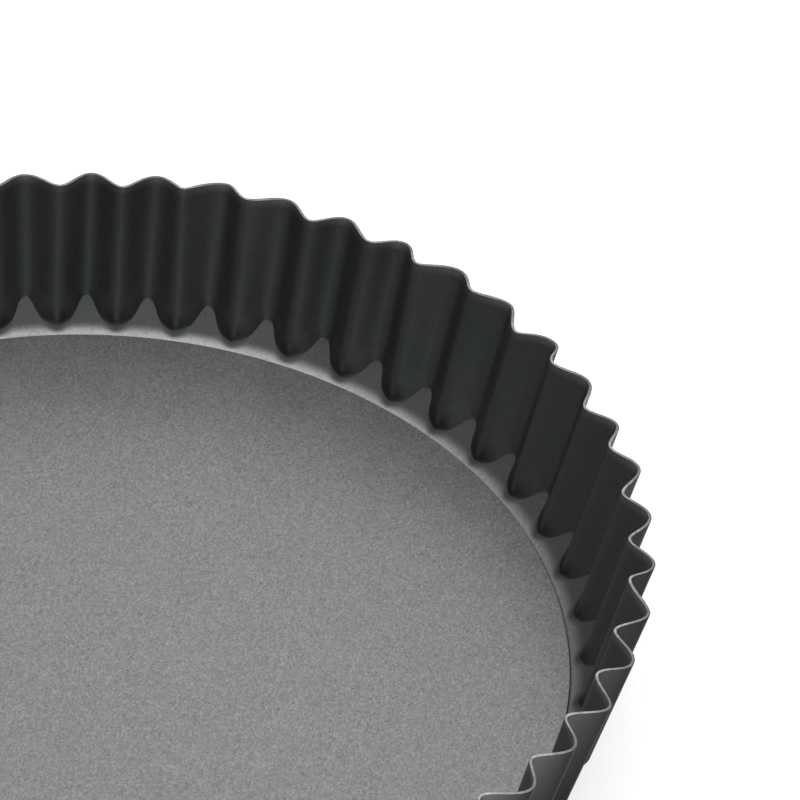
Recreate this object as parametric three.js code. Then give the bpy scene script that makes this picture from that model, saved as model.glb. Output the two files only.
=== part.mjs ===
// Fluted quiche tin with a loose bottom: a pressed sheet ring, whose flared wall is fluted and
// whose foot turns in to a recessed seat, and a flat base disc that lies in the recess and lifts out.
// Millimetres, +Z up. The tin stands on z = 0, and its axis is the Z axis.
import * as THREE from 'three';
import { mergeVertices } from 'three/addons/utils/BufferGeometryUtils.js';

// Loose base
const baseDiameter = 218.2;
const baseThickness = 0.8;
const baseEdgeBevel = 0.15;

// Sheet of the ring, and the recess that the base lies in
const sheetThickness = 0.6;
const baseClearance = 0.4; // all round the base, to the side of its recess
const seatPlay = 0.1; // between the base and its seat
const baseProud = 0.5; // top of the base over the edge of its recess
const seatWidth = 5.5; // flat seat, inwards from the side of the recess
const seatMargin = 1; // between the hole in the foot and the free middle of the base's underside

// Ledge round the base, wider under the outward ridges than under the inward crests
const ledgeWidthAtCrest = 1.3;
const ledgeWidthAtRidge = 2.2;
const ledgeSlope = THREE.MathUtils.degToRad(25);

// Cove between the ledge and the wall, in which the flutes run out
const coveWidthAtCrest = 1.3;
const coveSlope = THREE.MathUtils.degToRad(42);

// Fluted wall
const wallHeight = 38.9; // rim over the top of the base
const crestFlare = 7.25; // radial run of an inward crest, from its foot to the rim
const fluteCount = 48;
const fluteDepthAtFoot = 4.6;
const fluteDepthAtRim = 5;

// Second and third harmonics of one flute: narrow ridges at the foot, blunt ones at the rim
const footHarmonics = [0.25, 0.05];
const rimHarmonics = [-0.03, 0];

// Fineness of the mesh
const stepsPerFlute = 8;
const baseSegments = 96;

// Radii and heights that follow from the sizes above
const baseRadius = baseDiameter / 2;
const recessRadius = baseRadius + baseClearance;
const seatRadius = recessRadius - seatWidth;
const seatHeight = sheetThickness;
const baseBottom = seatHeight + seatPlay;
const baseTop = baseBottom + baseThickness;
const recessTop = baseTop - baseProud;
const rimHeight = baseTop + wallHeight;
const crestFootRadius = recessRadius + ledgeWidthAtCrest + coveWidthAtCrest;
const crestFootHeight =
  recessTop + ledgeWidthAtCrest * Math.tan(ledgeSlope) + coveWidthAtCrest * Math.tan(coveSlope);
const crestRimRadius = crestFootRadius + crestFlare;

// Height of a flute's wave at a phase, from 0 on an inward crest to 1 on an outward ridge
function fluteWave(phase, [second, third]) {
  const wave = (p) => Math.cos(p) + second * Math.cos(2 * p) + third * Math.cos(3 * p);
  const crest = wave(Math.PI);
  const ridge = wave(0);
  return (wave(phase) - crest) / (ridge - crest);
}

// Inner side of the ring's sheet at an angle about the axis, from the hole in the foot up to the rim
function sheetSection(angle) {
  const phase = angle * fluteCount;
  const footWave = fluteWave(phase, footHarmonics);
  const rimWave = fluteWave(phase, rimHarmonics);

  const ledgeWidth = THREE.MathUtils.lerp(ledgeWidthAtCrest, ledgeWidthAtRidge, rimWave);
  const ledgeEdgeRadius = recessRadius + ledgeWidth;
  const ledgeEdgeHeight = recessTop + ledgeWidth * Math.tan(ledgeSlope);

  // The wall is straight from its foot to the rim, and the cove climbs until it meets that line
  const footRadius = crestFootRadius + fluteDepthAtFoot * footWave;
  const rimRadius = crestRimRadius + fluteDepthAtRim * rimWave;
  const wallRun = (rimRadius - footRadius) / (rimHeight - crestFootHeight);
  const coveRun = 1 / Math.tan(coveSlope);
  const wallAtLedge = footRadius + (ledgeEdgeHeight - crestFootHeight) * wallRun;
  const coveRise = (wallAtLedge - ledgeEdgeRadius) / (coveRun - wallRun);
  const coveTopRadius = ledgeEdgeRadius + coveRise * coveRun;
  const coveTopHeight = ledgeEdgeHeight + coveRise;

  const outline = [
    [seatRadius, seatHeight],
    [recessRadius, seatHeight],
    [recessRadius, recessTop],
    [ledgeEdgeRadius, ledgeEdgeHeight],
    [coveTopRadius, coveTopHeight],
    [rimRadius, rimHeight],
  ];
  return outline.map(([r, z]) => new THREE.Vector3(r * Math.cos(angle), r * Math.sin(angle), z));
}

// Outer side of the sheet: every bend of the inner side moved out square to the sheet,
// with the raw edges cut level at the rim and upright at the hole in the foot
function outerSection(angle, inner) {
  const smallTurn = 1e-4;
  const ahead = sheetSection(angle + smallTurn);
  const behind = sheetSection(angle - smallTurn);
  const last = inner.length - 1;

  return inner.map((point, i) => {
    const around = ahead[i].clone().sub(behind[i]);
    const squareTo = (from, to) => around.clone().cross(to.clone().sub(from)).normalize();
    const below = i > 0 ? squareTo(inner[i - 1], point) : null;
    const above = i < last ? squareTo(point, inner[i + 1]) : null;
    if (!below) {
      return point.clone().addScaledVector(above, sheetThickness);
    }
    if (!above) {
      const level = new THREE.Vector3(below.x, below.y, 0);
      return point.clone().addScaledVector(level, sheetThickness / level.lengthSq());
    }
    const mitre = below.clone().add(above).normalize();
    return point.clone().addScaledVector(mitre, sheetThickness / mitre.dot(below));
  });
}

// Closed skin through the sections, which go up the inner side and back down the outer side
function ringGeometry() {
  const columns = fluteCount * stepsPerFlute;
  const positions = [];
  let rows = 0;
  for (let column = 0; column < columns; column += 1) {
    const angle = (column / columns) * 2 * Math.PI;
    const inner = sheetSection(angle);
    const section = [...inner, ...outerSection(angle, inner).reverse()];
    rows = section.length;
    section.forEach((point) => positions.push(point.x, point.y, point.z));
  }

  const indices = [];
  for (let column = 0; column < columns; column += 1) {
    const here = column * rows;
    const next = ((column + 1) % columns) * rows;
    for (let row = 0; row < rows; row += 1) {
      const up = (row + 1) % rows;
      indices.push(here + row, here + up, next + up);
      indices.push(here + row, next + up, next + row);
    }
  }

  const geometry = new THREE.BufferGeometry();
  geometry.setAttribute('position', new THREE.Float32BufferAttribute(positions, 3));
  geometry.setIndex(indices);
  geometry.computeVertexNormals();
  return geometry;
}

// Flat disc with its edges broken, standing on its own underside. The middle of the underside,
// which shows through the hole in the ring's foot, is parted from the rim that lies on the seat.
function baseGeometry() {
  const profile = [
    new THREE.Vector2(0, 0),
    new THREE.Vector2(seatRadius - seatMargin, 0),
    new THREE.Vector2(baseRadius - baseEdgeBevel, 0),
    new THREE.Vector2(baseRadius, baseEdgeBevel),
    new THREE.Vector2(baseRadius, baseThickness - baseEdgeBevel),
    new THREE.Vector2(baseRadius - baseEdgeBevel, baseThickness),
    new THREE.Vector2(0, baseThickness),
  ];
  const turned = new THREE.LatheGeometry(profile, baseSegments);
  turned.deleteAttribute('normal');
  turned.deleteAttribute('uv');
  const geometry = mergeVertices(turned);
  geometry.rotateX(Math.PI / 2);
  geometry.computeVertexNormals();
  return geometry;
}

const ringCoat = new THREE.MeshStandardMaterial({ color: 0x333533, roughness: 0.45, metalness: 0.7 });
const baseCoat = new THREE.MeshStandardMaterial({ color: 0x868685, roughness: 0.4, metalness: 0.8 });

const flutedRing = new THREE.Mesh(ringGeometry(), ringCoat);
flutedRing.name = 'fluted_ring';

const looseBase = new THREE.Mesh(baseGeometry(), baseCoat);
looseBase.name = 'loose_base';
looseBase.position.z = baseBottom;

const tin = new THREE.Group();
tin.add(flutedRing, looseBase);

export default tin;
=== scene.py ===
import math

import bmesh
import bpy
from mathutils import Matrix, Vector


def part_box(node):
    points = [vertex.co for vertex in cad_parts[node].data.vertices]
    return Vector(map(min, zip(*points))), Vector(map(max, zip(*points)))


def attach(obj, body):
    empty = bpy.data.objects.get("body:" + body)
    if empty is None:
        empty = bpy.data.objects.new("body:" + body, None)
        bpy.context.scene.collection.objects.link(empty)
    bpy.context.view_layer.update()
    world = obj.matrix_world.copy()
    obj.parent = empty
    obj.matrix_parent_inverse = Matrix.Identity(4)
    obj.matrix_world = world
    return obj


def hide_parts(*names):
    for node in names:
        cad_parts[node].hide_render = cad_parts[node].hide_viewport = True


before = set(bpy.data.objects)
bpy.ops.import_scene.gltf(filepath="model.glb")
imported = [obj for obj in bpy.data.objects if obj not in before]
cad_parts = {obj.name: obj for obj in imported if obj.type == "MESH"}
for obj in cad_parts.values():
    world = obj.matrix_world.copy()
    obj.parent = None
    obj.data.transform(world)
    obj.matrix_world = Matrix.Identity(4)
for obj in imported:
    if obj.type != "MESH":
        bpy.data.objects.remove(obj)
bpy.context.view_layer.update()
print("frame loaded:", ", ".join(sorted(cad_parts)))

mm = 0.001

# places that the CAD pieces give
edgeReach = 0.3 * mm  # the base's edge lies this far outside the solid's, as the photograph shows it
baseLow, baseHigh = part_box("loose_base")
baseRadius = baseHigh[0] + edgeReach
baseBottom = baseLow[2]
baseTop = baseHigh[2]
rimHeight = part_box("fluted_ring")[1][2]


# small helpers for nodes and meshes
def addNode(tree, kind, inputs=None, **settings):
    made = tree.nodes.new(kind)
    for name, value in settings.items():
        setattr(made, name, value)
    for key, value in (inputs or {}).items():
        if isinstance(value, bpy.types.NodeSocket):
            tree.links.new(value, made.inputs[key])
        else:
            made.inputs[key].default_value = value
    return made


def calc(tree, operation, *values):
    return addNode(tree, "ShaderNodeMath", dict(enumerate(values)), operation=operation).outputs[0]


def vectorCalc(tree, operation, *values):
    return addNode(tree, "ShaderNodeVectorMath", dict(enumerate(values)), operation=operation).outputs[0]


def scaled(tree, vector, share):
    return addNode(tree, "ShaderNodeVectorMath", {0: vector, "Scale": share}, operation="SCALE").outputs[0]


def remap(tree, value, fromLow, fromHigh, toLow, toHigh):
    return addNode(tree, "ShaderNodeMapRange", {
        "Value": value, "From Min": fromLow, "From Max": fromHigh, "To Min": toLow, "To Max": toHigh,
    }).outputs["Result"]


def mixVectors(tree, share, low, high):
    sockets = {"Factor": share, 4: low, 5: high}  # 4 and 5 are the node's vectors
    return addNode(tree, "ShaderNodeMix", sockets, data_type="VECTOR").outputs[1]


def newMaterial(name):
    made = bpy.data.materials.new(name)
    made.use_nodes = True
    return made, made.node_tree, made.node_tree.nodes["Principled BSDF"]


def newPiece(name, mesh):
    made = bpy.data.objects.new(name, mesh)
    bpy.context.scene.collection.objects.link(made)
    return made


def mix(low, high, share):
    return low + (high - low) * share


# finishes
coatLooks = {
    "wall": {
        "colour": (0.137, 0.152, 0.139),
        "sheenAndWearColour": (0.318, 0.322, 0.316),  # the ledge: painted sheen where the band catches the overhead light, with wear where the base and the pastry rub the coat
        "sheenAndWearFlake": 0.22,
        "roughness": 0.38,
        "metallic": 0.78,
        "edgeTint": 0.8,  # how much of the gleam at a flat angle is left
        "flake": 0.12,
    },
    "outside": {
        "colour": (0.031, 0.035, 0.032),
        "sheenAndWearColour": (0.185, 0.194, 0.183),  # painted light, high in the grooves
        "sheenAndWearFlake": 0.12,
        "frontLightFade": {"from": -95 * mm, "to": -35 * mm, "left": 0.1},  # painted light: strongest on the front side, where the lamps fall
        "roughness": 0.36,
        "metallic": 0.78,
        "edgeTint": 0.35,
        "flake": 0.12,
    },
    "base": {
        "colour": (0.286, 0.290, 0.286),
        "roughness": 0.36,
        "metallic": 0.4,
        "edgeTint": 1.0,
        "flake": 0.43,
    },
}
flakeSizes = {
    "across": 0.4 * mm,
    "hue": 0.1,  # share of a flake's tone that differs between red, green and blue
    "rolledStretch": 0.74,  # a flake is a little longer the way the sheet was rolled
    "grain": 0.7 * mm,
    "grainDetail": 2.0,
    "bump": 0.006 * mm,
    "bumpStrength": 0.35,
    "cloud": 16 * mm,
    "cloudDetail": 3.0,
    "cloudRange": (0.3, 0.7),  # of the noise, over which tone and gloss change
    "cloudGloss": 0.03,
    "cloudTone": 0.03,
    "cloudHue": 0.06,
    "foldShadeDepth": 0.8,  # painted shade in the tight folds at the foot of the crests
}


def flakeCoat(name, look):
    # non-stick coat: fine metal flake in a grey binder, with gloss that varies a little in clouds
    made, tree, shader = newMaterial(name)
    coords = addNode(tree, "ShaderNodeTexCoord").outputs["Object"]
    rolled = vectorCalc(tree, "MULTIPLY", coords, (1, flakeSizes["rolledStretch"], 1))
    cells = addNode(tree, "ShaderNodeTexVoronoi", {
        "Vector": rolled, "Scale": 1 / flakeSizes["across"],
    }).outputs["Color"]
    tone = addNode(tree, "ShaderNodeVectorMath", {
        0: cells, 1: (1 / 3, 1 / 3, 1 / 3),
    }, operation="DOT_PRODUCT").outputs["Value"]
    grey = addNode(tree, "ShaderNodeCombineXYZ", dict.fromkeys("XYZ", tone)).outputs["Vector"]
    flake = mixVectors(tree, flakeSizes["hue"], grey, cells)
    grain = addNode(tree, "ShaderNodeTexNoise", {
        "Vector": rolled, "Scale": 1 / flakeSizes["grain"], "Detail": flakeSizes["grainDetail"],
    }).outputs["Fac"]
    bump = addNode(tree, "ShaderNodeBump", {
        "Height": grain, "Strength": flakeSizes["bumpStrength"], "Distance": flakeSizes["bump"],
    }).outputs["Normal"]

    # tone, gloss and hue of the clouds
    clouds = addNode(tree, "ShaderNodeTexNoise", {
        "Vector": coords, "Scale": 1 / flakeSizes["cloud"], "Detail": flakeSizes["cloudDetail"],
    }).outputs
    low, high = flakeSizes["cloudRange"]
    blotch, gloss, hue = flakeSizes["cloudTone"], flakeSizes["cloudGloss"], flakeSizes["cloudHue"]
    shade = remap(tree, clouds["Fac"], low, high, 1 - blotch, 1 + blotch)
    roughness = remap(tree, clouds["Fac"], low, high, look["roughness"] - gloss, look["roughness"] + gloss)
    tint = vectorCalc(tree, "MULTIPLY_ADD", clouds["Color"], (hue,) * 3, (1 - hue / 2,) * 3)

    # where the sheen-and-wear value is high the coat is lighter: painted sheen on the ledge, painted
    # highlight under the rim and painted light in the outer grooves, with wear; in the tight folds it is
    # darkened with painted shade
    colour = look["colour"]
    contrast = 2 * look["flake"]  # a flake's tone runs half a unit either way
    if "sheenAndWearColour" in look:
        sheenAndWear = addNode(tree, "ShaderNodeAttribute", attribute_name="sheenAndWear").outputs["Fac"]
        # painted light from the front: the outside's lighter grooves fade towards the back
        if "frontLightFade" in look:
            fade = look["frontLightFade"]
            depth = addNode(tree, "ShaderNodeSeparateXYZ", {"Vector": coords}).outputs["Y"]
            left = remap(tree, depth, fade["from"], fade["to"], 1.0, fade["left"])
            sheenAndWear = calc(tree, "MULTIPLY", sheenAndWear, left)
        colour = mixVectors(tree, sheenAndWear, colour, look["sheenAndWearColour"])
        contrast = remap(tree, sheenAndWear, 0.0, 1.0, contrast, 2 * look["sheenAndWearFlake"])
        # painted shade: the coat darkened in the tight folds at the foot of the crests, where shade falls
        foldShade = addNode(tree, "ShaderNodeAttribute", attribute_name="foldShade").outputs["Fac"]
        foldShadeFactor = remap(tree, foldShade, 0.0, 1.0, 1.0, 1 - flakeSizes["foldShadeDepth"])
        shade = calc(tree, "MULTIPLY", shade, foldShadeFactor)

    flecks = scaled(tree, vectorCalc(tree, "SUBTRACT", flake, (0.5, 0.5, 0.5)), contrast)
    glint = vectorCalc(tree, "MULTIPLY", tint, vectorCalc(tree, "ADD", flecks, (1, 1, 1)))
    coat = scaled(tree, vectorCalc(tree, "MULTIPLY", colour, glint), shade)
    tree.links.new(coat, shader.inputs["Base Color"])
    tree.links.new(roughness, shader.inputs["Roughness"])
    tree.links.new(bump, shader.inputs["Normal"])
    shader.inputs["Metallic"].default_value = look["metallic"]
    shader.inputs["Specular Tint"].default_value = (look["edgeTint"],) * 3 + (1,)
    return made


steelLook = {
    "dark": (0.34, 0.35, 0.335, 1),
    "light": (0.60, 0.61, 0.59, 1),
    "darkAt": 0.35,  # of the grain's noise
    "lightAt": 0.65,
    "grainScale": 900.0,  # to the metre
    "grainDetail": 2.0,
    "metallic": 0.8,
    "roughness": 0.42,
}


def cutSteel(name, coatLeft=None):
    # raw edge of the sheet, a little uneven from the shear; with coatLeft, coat is left on it where the
    # sheen-and-wear value is low, so the bare, lighter steel shows wear together with a painted highlight
    # on the rim's crests
    made, tree, shader = newMaterial(name)
    coords = addNode(tree, "ShaderNodeTexCoord").outputs["Object"]
    grain = addNode(tree, "ShaderNodeTexNoise", {
        "Vector": coords, "Scale": steelLook["grainScale"], "Detail": steelLook["grainDetail"],
    }).outputs["Fac"]
    ramp = addNode(tree, "ShaderNodeValToRGB", {"Fac": grain})
    dark, light = ramp.color_ramp.elements
    dark.position, dark.color = steelLook["darkAt"], steelLook["dark"]
    light.position, light.color = steelLook["lightAt"], steelLook["light"]
    colour = ramp.outputs["Color"]
    if coatLeft:
        sheenAndWear = addNode(tree, "ShaderNodeAttribute", attribute_name="sheenAndWear").outputs["Fac"]
        colour = mixVectors(tree, sheenAndWear, coatLeft, colour)
    tree.links.new(colour, shader.inputs["Base Color"])
    shader.inputs["Metallic"].default_value = steelLook["metallic"]
    shader.inputs["Roughness"].default_value = steelLook["roughness"]
    return made


wallCoat = flakeCoat("wallCoat", coatLooks["wall"])
outsideCoat = flakeCoat("outsideCoat", coatLooks["outside"])
baseCoat = flakeCoat("baseCoat", coatLooks["base"])
cutEdge = cutSteel("cutEdge")
sheenAndWearEdge = cutSteel("sheenAndWearEdge", coatLooks["wall"]["colour"])
print("finishes made")

# fluted ring: one flute of the pressed sheet, repeated round the tin
ringSizes = {
    "sheet": 0.6 * mm,
    "rimSheet": 0.75 * mm,  # the coat thickens the edge
    "rimHighlightAtCrest": 0.45,  # of the painted highlight just under the rim
    "rimHighlightAtRidge": 1.0,
    "rimHighlightDepth": 2.2 * mm,  # where it has faded away
    "grooveSheen": 0.7,  # how fast the painted light in the grooves of the outside fades towards the ridges
    "ridgeSheenAndWear": 0.28,  # how bare and bright the rim is on the ridges, where 1 is as on the crests: wear with a painted highlight
    "sheenAndWearFade": 0.6,  # how fast the rim's wear and painted highlight fade away from a crest
    "baseClearance": 0.12 * mm,
    "baseProud": 0.5 * mm,
    "seatWidth": 5.5 * mm,
    "ledgeAtCrest": 1.05 * mm,
    "ledgeAtRidge": 2.18 * mm,
    "ledgeSlope": math.radians(25),
    "ledgeDip": 0.28,  # share of a flute over which the ledge narrows towards a crest
    "coveAtCrest": 1.53 * mm,
    "coveSlope": math.radians(42),
    "coveSheenAndWear": 0.22,  # of the painted ledge sheen and wear that is left in the coves under the ridges
    "crestFlare": 7.1 * mm,
    "depthAtFoot": 4.6 * mm,
    "depthAtRim": 5.0 * mm,
    "footBell": 0.7,  # share of the foot's wave that is a narrow ridge, on top of an even slope
    "footBellWidth": 0.165,
    "footCrease": 0.99,  # 1 is a sharp crease along the foot of a crest
    "foldShadeStart": 3,  # how fast the painted shade sets in along the bend at the foot of a crest
    "foldShadeFade": 4,  # how fast it fades away from a crest
    "foldShadeEdge": 30,  # the same for the line along the crest that stays light
    "pleatHeight": 9.0 * mm,  # over the base, from where the flutes are even waves
    "rimBlunt": 0.03,
    "flutes": 48,
    "stepsPerFlute": 20,
    "crowding": 0.2,  # draws the steps together on ridges and crests
    "merge": 0.004 * mm,  # joins one flute to the next
    "unevenFrom": 3 * mm,  # over the base, from where the wall wanders
    "unevenScale": 9.0,
    "unevenDetail": 1.0,
    "unevenRadius": 1.8 * mm,
    "unevenTurn": 2.0 * mm,
    "unevenSeed": 3.0,
    "turnSeed": 40.0,  # on top of the seed, so that the two ways of wandering differ
}

# knocks round the rim, in degrees and mm: how far the crests and the ridges there stand
# outwards and sideways
rimKnocks = [
    {"place": 101, "spread": 6, "crest": (1.5, 0.0), "ridge": (0.0, 0.0)},
    {"place": 75, "spread": 5.5, "crest": (2.6, 1.7), "ridge": (1.05, -0.3)},
    {"place": 56.2, "spread": 3, "crest": (0.0, -0.5), "ridge": (0.0, 0.0)},
    {"place": 48.8, "spread": 3, "crest": (0.0, 1.0), "ridge": (0.0, 0.0)},
    {"place": 41.2, "spread": 4.5, "crest": (2.2, 1.0), "ridge": (0.8, 0.0)},
    {"place": 34, "spread": 3, "crest": (-0.5, -1.1), "ridge": (0.0, 0.0)},
    {"place": 28, "spread": 3.5, "crest": (1.0, 1.5), "ridge": (0.8, -0.8)},
    {"place": 20, "spread": 3.5, "crest": (0.0, -0.7), "ridge": (0.0, -0.9)},
    {"place": 10, "spread": 3.5, "crest": (1.05, 0.3), "ridge": (0.9, 0.4)},
    {"place": -11.2, "spread": 3, "crest": (0.75, 2.2), "ridge": (0.0, 0.0)},
    {"place": -15, "spread": 5, "crest": (0.0, 0.0), "ridge": (0.45, 0.0)},
    {"place": -22, "spread": 24, "crest": (-0.8, 0.0), "ridge": (-0.1, 0.0)},
    {"place": -24.4, "spread": 3, "crest": (0.4, 0.9), "ridge": (0.0, -1.1)},
    {"place": -31, "spread": 4.5, "crest": (-0.8, 0.8), "ridge": (0.9, 0.6)},
    {"place": -41, "spread": 6, "crest": (0.0, 0.3), "ridge": (0.2, 0.8)},
    {"place": -49, "spread": 3.5, "crest": (-0.6, -0.7), "ridge": (0.0, 0.0)},
]

# corners of the sheet's section, in mm: how far a bend reaches back and onward at a crest, the same
# at a ridge, steps in the bend, and rows on the run after it
sectionBends = {
    "holeUpper": ((0.1, 0.1), (0.1, 0.1), 2, 1),
    "seatCorner": ((0.2, 0.12), (0.2, 0.12), 2, 0),
    "recessEdge": ((0.2, 0.3), (0.2, 0.3), 3, 1),
    "ledgeEdge": ((0.6, 0.7), (1.4, 1.3), 4, 1),
    "coveTop": ((0.8, 1.8), (0.3, 0.4), 6, 1),
    "lowWall": ((3.0, 3.0), (1.2, 1.2), 4, 8),
    "rimInner": ((0.12, 0.09), (0.12, 0.09), 3, 0),
    "rimOuter": ((0.09, 0.12), (0.09, 0.12), 3, 6),
    "lowOutside": ((3.0, 3.0), (1.2, 1.2), 3, 1),
    "coveOutside": ((2.0, 1.0), (0.6, 0.5), 4, 1),
    "ledgeOutside": ((0.7, 0.6), (1.3, 1.2), 3, 1),
    "recessOutside": ((0.3, 0.3), (0.3, 0.3), 2, 0),
    "footCorner": ((0.25, 0.35), (0.25, 0.35), 2, 1),
    "holeLower": ((0.1, 0.1), (0.1, 0.1), 2, 0),
}
holdRow = 0.3 * mm  # a row this close to each bend keeps the shading crisp
holdShare = 0.3  # but no further along a short run than this
smallTurn = 1e-4  # radians, to find the way round the tin
insideFace, cutFace, outsideFace = range(3)  # kept in the mesh, and turned into finishes by the tree


def footWave(size, phase):
    # 0 on an inward crest and 1 on an outward ridge
    turn = (phase / (2 * math.pi) + 0.5) % 1 - 0.5
    slope = 0.5 + 0.5 * math.asin(size["footCrease"] * math.cos(phase)) / math.asin(size["footCrease"])
    return mix(slope, 1 / (1 + (turn / size["footBellWidth"]) ** 4), size["footBell"])


def rimWave(size, phase):
    return 0.5 + 0.5 * math.cos(phase) + size["rimBlunt"] * (1 - math.cos(2 * phase)) / 2


def ledgeWave(size, phase):
    turn = abs((phase / (2 * math.pi) + 0.5) % 1 - 0.5)
    share = min((0.5 - turn) / size["ledgeDip"], 1)
    return share * share * (3 - 2 * share)


def upperCorners(size, angle):
    # upper side of the sheet at an angle about the axis, from the hole in the foot to the rim
    phase = angle * size["flutes"]
    ledgeTan = math.tan(size["ledgeSlope"])
    coveTan = math.tan(size["coveSlope"])
    recess = baseRadius + size["baseClearance"]
    recessTop = baseTop - size["baseProud"]

    ledge = mix(size["ledgeAtCrest"], size["ledgeAtRidge"], ledgeWave(size, phase))
    ledgeEdge = recess + ledge
    ledgeHeight = recessTop + ledge * ledgeTan

    crestFoot = recess + size["ledgeAtCrest"] + size["coveAtCrest"]
    footHeight = recessTop + size["ledgeAtCrest"] * ledgeTan + size["coveAtCrest"] * coveTan
    foot = crestFoot + size["depthAtFoot"] * footWave(size, phase)
    rim = crestFoot + size["crestFlare"] + size["depthAtRim"] * rimWave(size, phase)

    # the cove climbs until it meets the straight wall
    wallRun = (rim - foot) / (rimHeight - footHeight)
    wallAtLedge = foot + (ledgeHeight - footHeight) * wallRun
    coveRise = (wallAtLedge - ledgeEdge) / (1 / coveTan - wallRun)

    # a little above that the flutes are even waves
    pleatHeight = baseTop + size["pleatHeight"]
    climb = (pleatHeight - footHeight) / (rimHeight - footHeight)
    pleatDepth = mix(size["depthAtFoot"], size["depthAtRim"], climb)
    pleat = crestFoot + size["crestFlare"] * climb + pleatDepth * rimWave(size, phase)

    corners = [
        (recess - size["seatWidth"], size["sheet"]),
        (recess, size["sheet"]),
        (recess, recessTop),
        (ledgeEdge, ledgeHeight),
        (ledgeEdge + coveRise / coveTan, ledgeHeight + coveRise),
        (pleat, pleatHeight),
        (rim, rimHeight),
    ]
    return [Vector((r * math.cos(angle), r * math.sin(angle), z)) for r, z in corners]


def lowerCorners(size, angle, upper):
    # the same corners moved through the sheet, with the raw edges cut square to it
    ahead = upperCorners(size, angle + smallTurn)
    behind = upperCorners(size, angle - smallTurn)
    lower = []
    for i, point in enumerate(upper):
        around = ahead[i] - behind[i]
        below = around.cross(point - upper[i - 1]).normalized() if i else None
        above = around.cross(upper[i + 1] - point).normalized() if i + 1 < len(upper) else None
        if below is None:
            lower.append(point + above * size["sheet"])
        elif above is None:
            lower.append(point + below * size["rimSheet"])
        else:
            mitre = (below + above).normalized()
            lower.append(point + mitre * size["sheet"] / mitre.dot(below))
    return lower


def roundedBends(corners, spread):
    # points along every bend of the section, where spread is 0 at a crest and 1 at a ridge
    arcs = []
    for i, (atCrest, atRidge, steps, _) in enumerate(sectionBends.values()):
        corner = corners[i]
        following = corners[(i + 1) % len(corners)]
        reachBack, reachOn = [mix(crest, ridge, spread) for crest, ridge in zip(atCrest, atRidge)]
        back = (corners[i - 1] - corner).normalized() * reachBack * mm
        onward = (following - corner).normalized() * reachOn * mm
        shares = [step / steps for step in range(steps + 1)]
        arcs.append([corner + back * (1 - t) ** 2 + onward * t ** 2 for t in shares])
    return arcs


def sectionRows(size, angle):
    # closed outline of the sheet with its bends rounded: point, painted sheen and wear, painted fold shade
    # and face of every row
    phase = angle * size["flutes"]
    upper = upperCorners(size, angle)
    spread = ledgeWave(size, phase)
    arcs = roundedBends(upper + lowerCorners(size, angle, upper)[::-1], spread)

    # looks that change from a crest to a ridge
    share = rimWave(size, phase)
    # the cut rim: wear with a painted highlight, bare on the crests and less so on the ridges
    rimSheenAndWear = mix(1, size["ridgeSheenAndWear"], share ** size["sheenAndWearFade"])
    rimHighlight = mix(size["rimHighlightAtCrest"], size["rimHighlightAtRidge"], share)
    # painted light in the outer grooves, strongest at the crests
    groove = (1 - share) ** size["grooveSheen"]
    coveSheenAndWear = size["coveSheenAndWear"] * spread
    foldShadeShare = (1 - footWave(size, phase)) ** size["foldShadeFade"]
    lightLine = (1 - share) ** size["foldShadeEdge"]

    rows = []
    for i, name in enumerate(sectionBends):
        bendFace = insideFace if i < len(upper) else outsideFace
        runFace = cutFace if name in ("rimInner", "holeLower") else bendFace
        arc = arcs[i]
        for step, point in enumerate(arc):
            faded = step / (len(arc) - 1)
            # painted sheen with wear on the ledge and coves, painted highlight under the rim, painted light
            # in the outer grooves, lighter coat at the hole and recess edges
            sheenAndWear = {
                "holeUpper": 1,
                "recessEdge": 1,
                "ledgeEdge": mix(1, coveSheenAndWear, faded),
                "coveTop": coveSheenAndWear * (1 - faded),
                "rimInner": mix(rimHighlight, rimSheenAndWear, faded),
                "rimOuter": mix(rimSheenAndWear, groove, faded),
                "holeLower": 1,
            }.get(name, 0)
            # painted shade along the bend at the foot of a crest, leaving a light line along the crest
            foldShade = 0
            if name == "coveTop":
                foldShade = foldShadeShare * min(size["foldShadeStart"] * faded, 1) * (1 - lightLine * faded ** 2)
            rows.append((point, sheenAndWear, foldShade, runFace if faded == 1 else bendFace))

        # rows on the straight run to the next bend
        start, end = arc[-1], arcs[(i + 1) % len(arcs)][0]
        run = (end - start).length
        steps = sectionBends[name][3]
        _, endSheenAndWear, endFoldShade, _ = rows[-1]
        near = min(holdRow / run, holdShare)
        for step in range(steps + 1 if steps else 0):
            along = near + (1 - 2 * near) * step / steps
            sheenAndWear = endSheenAndWear * (1 if name in ("recessEdge", "ledgeEdge") else 1 - along)
            # painted highlight just under the rim, strongest on the ridges
            if name == "lowWall" and step == steps - 1:
                along = 1 - size["rimHighlightDepth"] / run
            if name == "lowWall" and step == steps:
                sheenAndWear = rimHighlight
            rows.append((start.lerp(end, along), sheenAndWear, endFoldShade * (1 - along), runFace))
    return rows


def oneFlute(size):
    # from the middle of one inward crest to the next, with the ridge on the X axis
    mesh = bmesh.new()
    sheenAndWearLayer = mesh.verts.layers.float.new("sheenAndWear")
    foldShadeLayer = mesh.verts.layers.float.new("foldShade")
    sideLayer = mesh.faces.layers.int.new("side")
    columns = []
    steps = size["stepsPerFlute"]
    for step in range(steps + 1):
        even = (step / steps - 0.5) * 2 * math.pi
        phase = even - size["crowding"] * math.sin(2 * even)
        column = []
        for point, sheenAndWear, foldShade, side in sectionRows(size, phase / size["flutes"]):
            vert = mesh.verts.new(point)
            vert[sheenAndWearLayer] = sheenAndWear
            vert[foldShadeLayer] = foldShade
            column.append((vert, side))
        columns.append(column)
    for here, onward in zip(columns, columns[1:]):
        for row, (vert, side) in enumerate(here):
            up = (row + 1) % len(here)
            face = mesh.faces.new((vert, here[up][0], onward[up][0], onward[row][0]))
            face[sideLayer] = side
    data = bpy.data.meshes.new("oneFlute")
    mesh.to_mesh(data)
    mesh.free()
    return newPiece("oneFlute", data)


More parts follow.
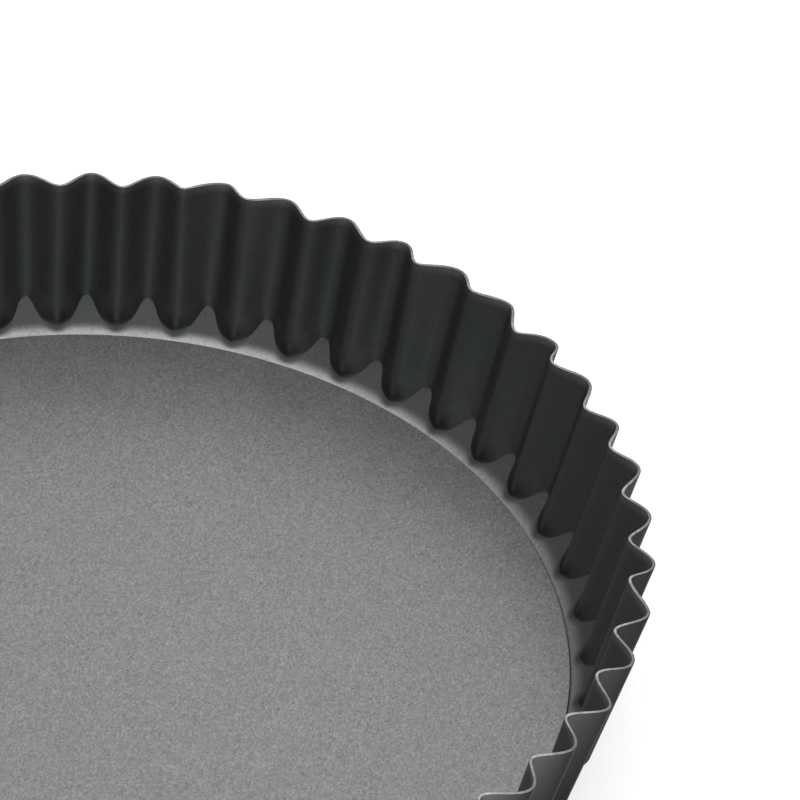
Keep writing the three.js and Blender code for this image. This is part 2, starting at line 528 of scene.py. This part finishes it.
def flutedRingTree(size):
    tree = bpy.data.node_groups.new("flutedRing", "GeometryNodeTree")
    tree.is_modifier = True
    tree.interface.new_socket(name="Ring", in_out="OUTPUT", socket_type="NodeSocketGeometry")
    inputs = {
        "Flute": "NodeSocketObject",
        "Flutes": "NodeSocketInt",
        "Foot height": "NodeSocketFloat",
        "Rim height": "NodeSocketFloat",
        "Uneven radius": "NodeSocketFloat",
        "Uneven turn": "NodeSocketFloat",
        "Seed": "NodeSocketFloat",
        "Wall coat": "NodeSocketMaterial",
        "Cut edge": "NodeSocketMaterial",
        "Outside coat": "NodeSocketMaterial",
    }
    for name, kind in inputs.items():
        tree.interface.new_socket(name=name, in_out="INPUT", socket_type=kind)
    given = addNode(tree, "NodeGroupInput").outputs

    # a copy of the flute at every step round the axis
    flute = addNode(tree, "GeometryNodeObjectInfo", {"Object": given["Flute"]}).outputs["Geometry"]
    places = addNode(tree, "GeometryNodePoints", {"Count": given["Flutes"]}).outputs["Points"]
    index = addNode(tree, "GeometryNodeInputIndex").outputs["Index"]
    turn = calc(tree, "DIVIDE", calc(tree, "MULTIPLY", index, 2 * math.pi), given["Flutes"])
    spin = addNode(tree, "ShaderNodeCombineXYZ", {"Z": turn}).outputs["Vector"]
    copies = addNode(tree, "GeometryNodeInstanceOnPoints", {
        "Points": places, "Instance": flute, "Rotation": spin,
    }).outputs["Instances"]
    ring = addNode(tree, "GeometryNodeRealizeInstances", {"Geometry": copies}).outputs["Geometry"]
    ring = addNode(tree, "GeometryNodeMergeByDistance", {
        "Geometry": ring, "Distance": size["merge"],
    }).outputs["Geometry"]

    # the pressed flutes wander a little, outwards and sideways, more towards the rim
    position = addNode(tree, "GeometryNodeInputPosition").outputs["Position"]
    x, y, height = addNode(tree, "ShaderNodeSeparateXYZ", {"Vector": position}).outputs
    climb = remap(tree, height, given["Foot height"], given["Rim height"], 0.0, 1.0)
    outward = vectorCalc(tree, "NORMALIZE", vectorCalc(tree, "MULTIPLY", position, (1, 1, 0)))
    sideways = vectorCalc(tree, "CROSS_PRODUCT", (0, 0, 1), outward)
    moves = []
    for reach, way, apart in (("Uneven radius", outward, 0.0), ("Uneven turn", sideways, size["turnSeed"])):
        wander = addNode(tree, "ShaderNodeTexNoise", {
            "Vector": outward, "W": calc(tree, "ADD", given["Seed"], apart),
            "Scale": size["unevenScale"], "Detail": size["unevenDetail"],
        }, noise_dimensions="4D").outputs["Fac"]
        amount = calc(tree, "MULTIPLY", calc(tree, "SUBTRACT", wander, 0.5), given[reach])
        moves.append(scaled(tree, way, calc(tree, "MULTIPLY", amount, climb)))

    # knocks, each strongest at its own place on the rim
    angle = calc(tree, "ARCTAN2", y, x)
    wave = calc(tree, "COSINE", calc(tree, "MULTIPLY", angle, given["Flutes"]))
    for knock in rimKnocks:
        place, spread = math.radians(knock["place"]), math.radians(knock["spread"])
        away = calc(tree, "DIVIDE", calc(tree, "SUBTRACT", angle, place), spread)
        share = calc(tree, "EXPONENT", calc(tree, "MULTIPLY", calc(tree, "MULTIPLY", away, away), -1.0))
        share = calc(tree, "MULTIPLY", share, climb)
        for way, crest, ridge in zip((outward, sideways), knock["crest"], knock["ridge"]):
            shift = remap(tree, wave, -1.0, 1.0, crest * mm, ridge * mm)
            moves.append(scaled(tree, way, calc(tree, "MULTIPLY", share, shift)))
    offset = moves[0]
    for move in moves[1:]:
        offset = vectorCalc(tree, "ADD", offset, move)
    ring = addNode(tree, "GeometryNodeSetPosition", {
        "Geometry": ring, "Offset": offset,
    }).outputs["Geometry"]

    # coat inside and out, steel on the cut edges, bare by wear together with a painted highlight on the
    # rim's crests
    ring = addNode(tree, "GeometryNodeSetShadeSmooth", {"Geometry": ring}).outputs["Geometry"]
    ring = addNode(tree, "GeometryNodeRealizeInstances", {"Geometry": ring}).outputs["Geometry"]
    side = addNode(tree, "GeometryNodeInputNamedAttribute", {
        "Name": "side",
    }, data_type="INT").outputs["Attribute"]
    finishes = {insideFace: "Wall coat", cutFace: "Cut edge", outsideFace: "Outside coat"}
    for face, finish in finishes.items():
        chosen = addNode(tree, "FunctionNodeCompare", {
            2: side, 3: face,  # the node's whole numbers
        }, data_type="INT", operation="EQUAL").outputs["Result"]
        ring = addNode(tree, "GeometryNodeSetMaterial", {
            "Geometry": ring, "Selection": chosen, "Material": given[finish],
        }).outputs["Geometry"]
    addNode(tree, "NodeGroupOutput", {"Ring": ring})
    return tree


def makeRing(size):
    flute = oneFlute(size)
    carrier = newPiece("ringCarrier", bpy.data.meshes.new("ringCarrier"))
    tree = flutedRingTree(size)
    modifier = carrier.modifiers.new("flutedRing", "NODES")
    modifier.node_group = tree
    values = {
        "Flute": flute,
        "Flutes": size["flutes"],
        "Foot height": baseTop + size["unevenFrom"],
        "Rim height": rimHeight,
        "Uneven radius": size["unevenRadius"],
        "Uneven turn": size["unevenTurn"],
        "Seed": size["unevenSeed"],
        "Wall coat": wallCoat,
        "Cut edge": sheenAndWearEdge,
        "Outside coat": outsideCoat,
    }
    for item in tree.interface.items_tree:
        if item.in_out == "INPUT":
            modifier[item.identifier] = values[item.name]
    depsgraph = bpy.context.evaluated_depsgraph_get()
    mesh = bpy.data.meshes.new_from_object(carrier.evaluated_get(depsgraph))
    mesh.name = "flutedRing"
    for helper in (carrier, flute):
        bpy.data.objects.remove(helper)
    return newPiece("flutedRing", mesh)


ringPiece = makeRing(ringSizes)
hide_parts("fluted_ring")
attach(ringPiece, "ring")
print("fluted ring made:", len(ringPiece.data.polygons), "faces")

# loose base: a flat disc sheared from sheet
baseSizes = {
    "topRound": 0.08 * mm,
    "bottomRound": 0.08 * mm,
    "roundSteps": 3,
    "holdRow": 0.3 * mm,
    "segments": 384,
    "rings": 6,
    "merge": 0.002 * mm,
    "edgeTilt": 0.3,  # a face that looks up or down less than this is part of the cut edge
}


def makeBase(size):
    inner = baseRadius - size["topRound"] - size["holdRow"]
    levels = [inner * ring / size["rings"] for ring in range(size["rings"] + 1)]
    outline = [(radius, baseBottom) for radius in levels]
    for bend, middle, start in (
        (size["bottomRound"], baseBottom + size["bottomRound"], -90),
        (size["topRound"], baseTop - size["topRound"], 0),
    ):
        for step in range(size["roundSteps"] + 1):
            angle = math.radians(start + 90 * step / size["roundSteps"])
            outline.append((baseRadius - bend + bend * math.cos(angle), middle + bend * math.sin(angle)))
    outline += [(radius, baseTop) for radius in reversed(levels)]

    mesh = bmesh.new()
    verts = [mesh.verts.new((r, 0, z)) for r, z in outline]
    edges = [mesh.edges.new(pair) for pair in zip(verts, verts[1:])]
    bmesh.ops.spin(mesh, geom=verts + edges, cent=(0, 0, 0), axis=(0, 0, 1),
                   angle=2 * math.pi, steps=size["segments"], use_merge=True)
    bmesh.ops.remove_doubles(mesh, verts=mesh.verts, dist=size["merge"])
    bmesh.ops.recalc_face_normals(mesh, faces=mesh.faces)
    for face in mesh.faces:
        face.smooth = True
        face.material_index = 1 if abs(face.normal.z) < size["edgeTilt"] else 0
    data = bpy.data.meshes.new("looseBase")
    mesh.to_mesh(data)
    mesh.free()
    data.materials.append(baseCoat)
    data.materials.append(cutEdge)
    return newPiece("looseBase", data)


basePiece = makeBase(baseSizes)
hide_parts("loose_base")
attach(basePiece, "base")
print("loose base made:", len(basePiece.data.polygons), "faces")

# plain pale floor
floorLooks = {
    "side": 8.0,
    "colour": (0.62, 0.62, 0.62, 1),
    "drop": 0.05 * mm,  # under the foot, so that the two faces are not one
    "glow": 0.74,  # what is seen of it, on top of its own light and shade
}


def makeFloor(size):
    half, level = size["side"] / 2, -size["drop"]
    corners = [(-half, -half, level), (half, -half, level), (half, half, level), (-half, half, level)]
    data = bpy.data.meshes.new("floor")
    data.from_pydata(corners, [], [(0, 1, 2, 3)])
    made, tree, shader = newMaterial("floorPaper")
    shader.inputs["Base Color"].default_value = size["colour"]
    shader.inputs["Roughness"].default_value = 1.0
    shader.inputs["Specular IOR Level"].default_value = 0.0
    rays = addNode(tree, "ShaderNodeLightPath").outputs
    seen = calc(tree, "MAXIMUM", rays["Is Camera Ray"], rays["Is Glossy Ray"])
    seen = calc(tree, "MAXIMUM", seen, rays["Is Transmission Ray"])
    tree.links.new(calc(tree, "MULTIPLY", seen, size["glow"]), shader.inputs["Emission Strength"])
    shader.inputs["Emission Color"].default_value = (1, 1, 1, 1)
    data.materials.append(made)
    return newPiece("floor", data)


floor = makeFloor(floorLooks)

# soft studio light: an even fill, and panels over the tin and round it
lightSizes = {
    "fill": 0.22,
    "panels": {
        "behind": {"place": (0.53, 1.5, 1.26), "side": (1.7, 1.5), "glow": 0.83},
        "overhead": {"place": (0.0, 0.15, 1.3), "side": (1.0, 0.8), "glow": 2.1},
        "overBack": {"place": (0.0, 0.7, 1.35), "side": (0.8, 0.5), "glow": 0.97},
        "upperLeft": {"place": (-0.7, 0.62, 1.2), "side": (0.6, 0.6), "glow": 0.4},
        "right": {"place": (1.4, -0.2, 0.9), "side": (0.8, 0.6), "glow": 0.68},
        "front": {"place": (0.0, -1.6, 0.66), "side": (1.5, 0.5), "glow": 1.2},
    },
}


def softPanel(name, place, side, glow):
    data = bpy.data.lights.new(name, "AREA")
    data.shape = "RECTANGLE"
    data.size, data.size_y = side
    data.energy = glow * side[0] * side[1] * math.pi  # watts that give this glow
    made = bpy.data.objects.new(name, data)
    made.location = place
    towardsTin = Vector((0, 0, baseTop)) - Vector(place)
    made.rotation_euler = towardsTin.to_track_quat("-Z", "Y").to_euler()
    made.visible_camera = False
    bpy.context.scene.collection.objects.link(made)


for panelName, panel in lightSizes["panels"].items():
    softPanel(panelName, panel["place"], panel["side"], panel["glow"])


def makeWorld(fill):
    # white where the camera looks past the floor, and the fill everywhere else
    made = bpy.data.worlds.new("studio")
    made.use_nodes = True
    tree = made.node_tree
    glow = tree.nodes["Background"]
    seen = addNode(tree, "ShaderNodeLightPath").outputs["Is Camera Ray"]
    tree.links.new(remap(tree, seen, 0.0, 1.0, fill, 1.0), glow.inputs["Strength"])
    glow.inputs["Color"].default_value = (1, 1, 1, 1)
    bpy.context.scene.world = made


makeWorld(lightSizes["fill"])
print("floor and light set")

# camera at the photograph's angle
cameraSizes = {
    "turn": math.radians(-3.47),  # about the tin's axis, from straight in front
    "reach": 0.8024,
    "height": 0.7565,  # over the base
    "pan": math.radians(4.56),
    "tilt": math.radians(40.20),
    "roll": math.radians(5.77),
    "lens": 214.2,  # in millimetres, as is the sensor
    "sensor": 36,
    "clipStart": 0.01,
}


def makeCamera(size):
    data = bpy.data.cameras.new("photoCamera")
    data.lens = size["lens"]
    data.sensor_width = size["sensor"]
    data.clip_start = size["clipStart"]
    made = bpy.data.objects.new("photoCamera", data)
    made.matrix_world = (
        Matrix.Rotation(size["turn"], 4, "Z")
        @ Matrix.Translation((0, -size["reach"], baseTop + size["height"]))
        @ Matrix.Rotation(-size["pan"], 4, "Z")
        @ Matrix.Rotation(math.pi / 2 - size["tilt"], 4, "X")
        @ Matrix.Rotation(size["roll"], 4, "Z")
    )
    bpy.context.scene.collection.objects.link(made)
    bpy.context.scene.camera = made


makeCamera(cameraSizes)
bpy.context.scene.view_settings.view_transform = "Standard"
print("camera set")
